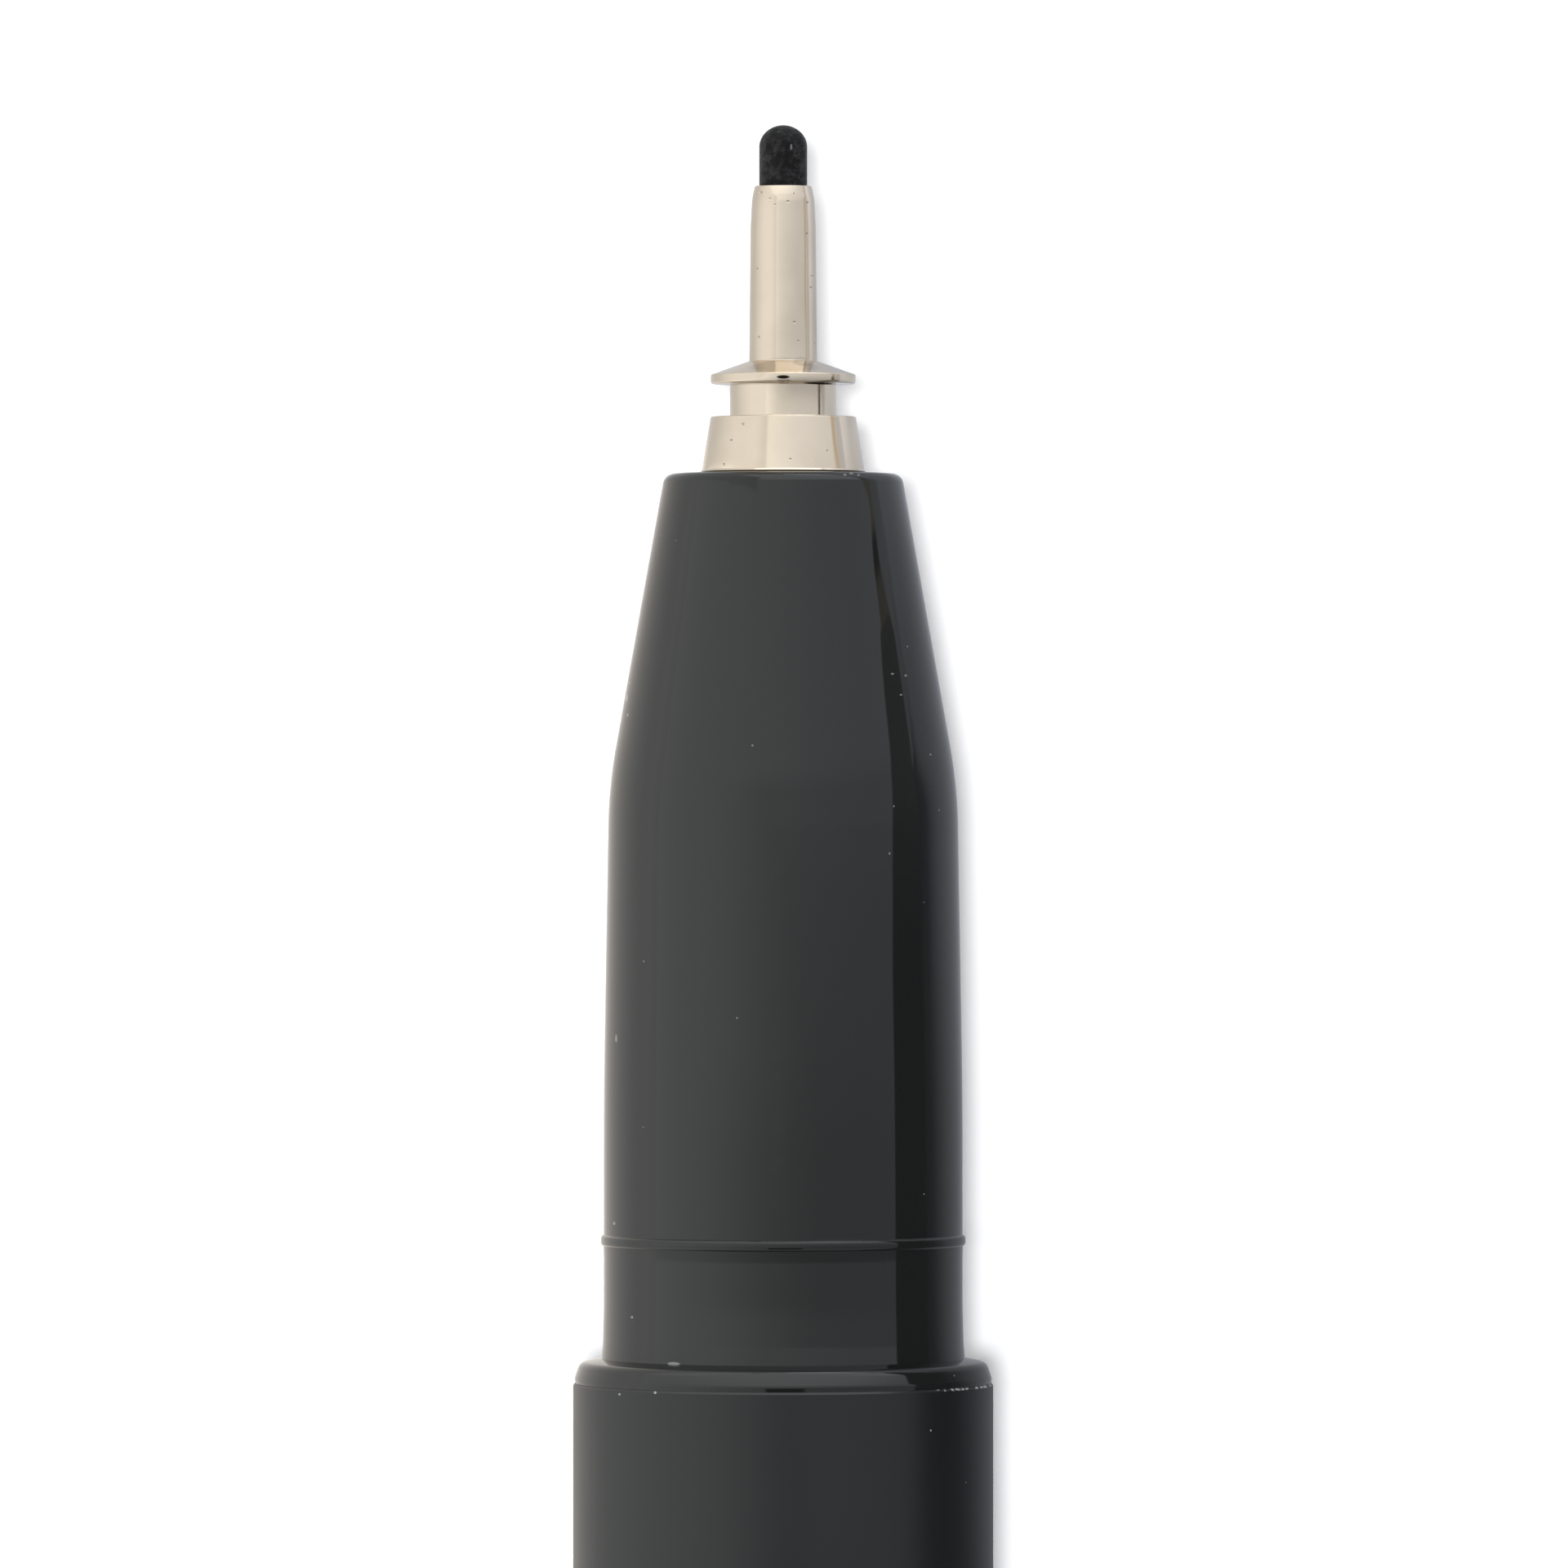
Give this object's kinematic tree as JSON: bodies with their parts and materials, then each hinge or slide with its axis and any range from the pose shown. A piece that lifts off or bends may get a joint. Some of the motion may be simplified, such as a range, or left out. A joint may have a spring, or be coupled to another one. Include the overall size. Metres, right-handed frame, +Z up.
{
  "type": "fineliner pen",
  "caption": "Slim fineliner pen: porous nib in a turned metal holder, glossy front section, satin barrel, and a pull-off cap with a sprung clip posted on the tail.",
  "frame": {"origin": "on the pen's axis at the front edge of the barrel, where the front section meets it", "axes": "+Y along the pen towards the nib, +Z up with the pen lying on its side, +X to the pen's right as seen from above"},
  "size_m": [0.0125, 0.1569, 0.0104],
  "materials": {
    "gloss_black": "glossy moulded black",
    "satin_black": "satin black with a fine grain",
    "nickel_silver": "turned and polished, warm silver",
    "sprung_metal": "polished strip, warm silver",
    "nib_fibre": "porous, soaked with black ink",
    "ink_fibre": "bundled fibre soaked with ink",
    "clear_film": "thin clear film",
    "milky_cup": "soft milky plastic"
  },
  "bodies": {
    "pen": {"nib": "nib_fibre", "nib_holder": "nickel_silver", "front_section": "gloss_black", "reservoir_core": "ink_fibre", "reservoir_film": "clear_film", "barrel": "satin_black", "tail_plug": "gloss_black"},
    "cap": {"cap_shell": "satin_black", "inner_cap": "milky_cup", "cap_crown": "gloss_black"},
    "clip": {"clip": "sprung_metal"}
  },
  "joints": [
    {"name": "cap_pull", "type": "slide", "parent": "pen", "child": "cap", "axis": [0, -1, 0], "range_m": [0, 0.03]},
    {"name": "clip_flex", "type": "hinge", "parent": "cap", "child": "clip", "pos_m": [0.00516, -0.1224, -0.00254], "axis": [-0.442, 0, -0.897], "range_deg": [0, 4], "stiffness_Nm_per_rad": 1.3, "springref_deg": -0.57}
  ]
}
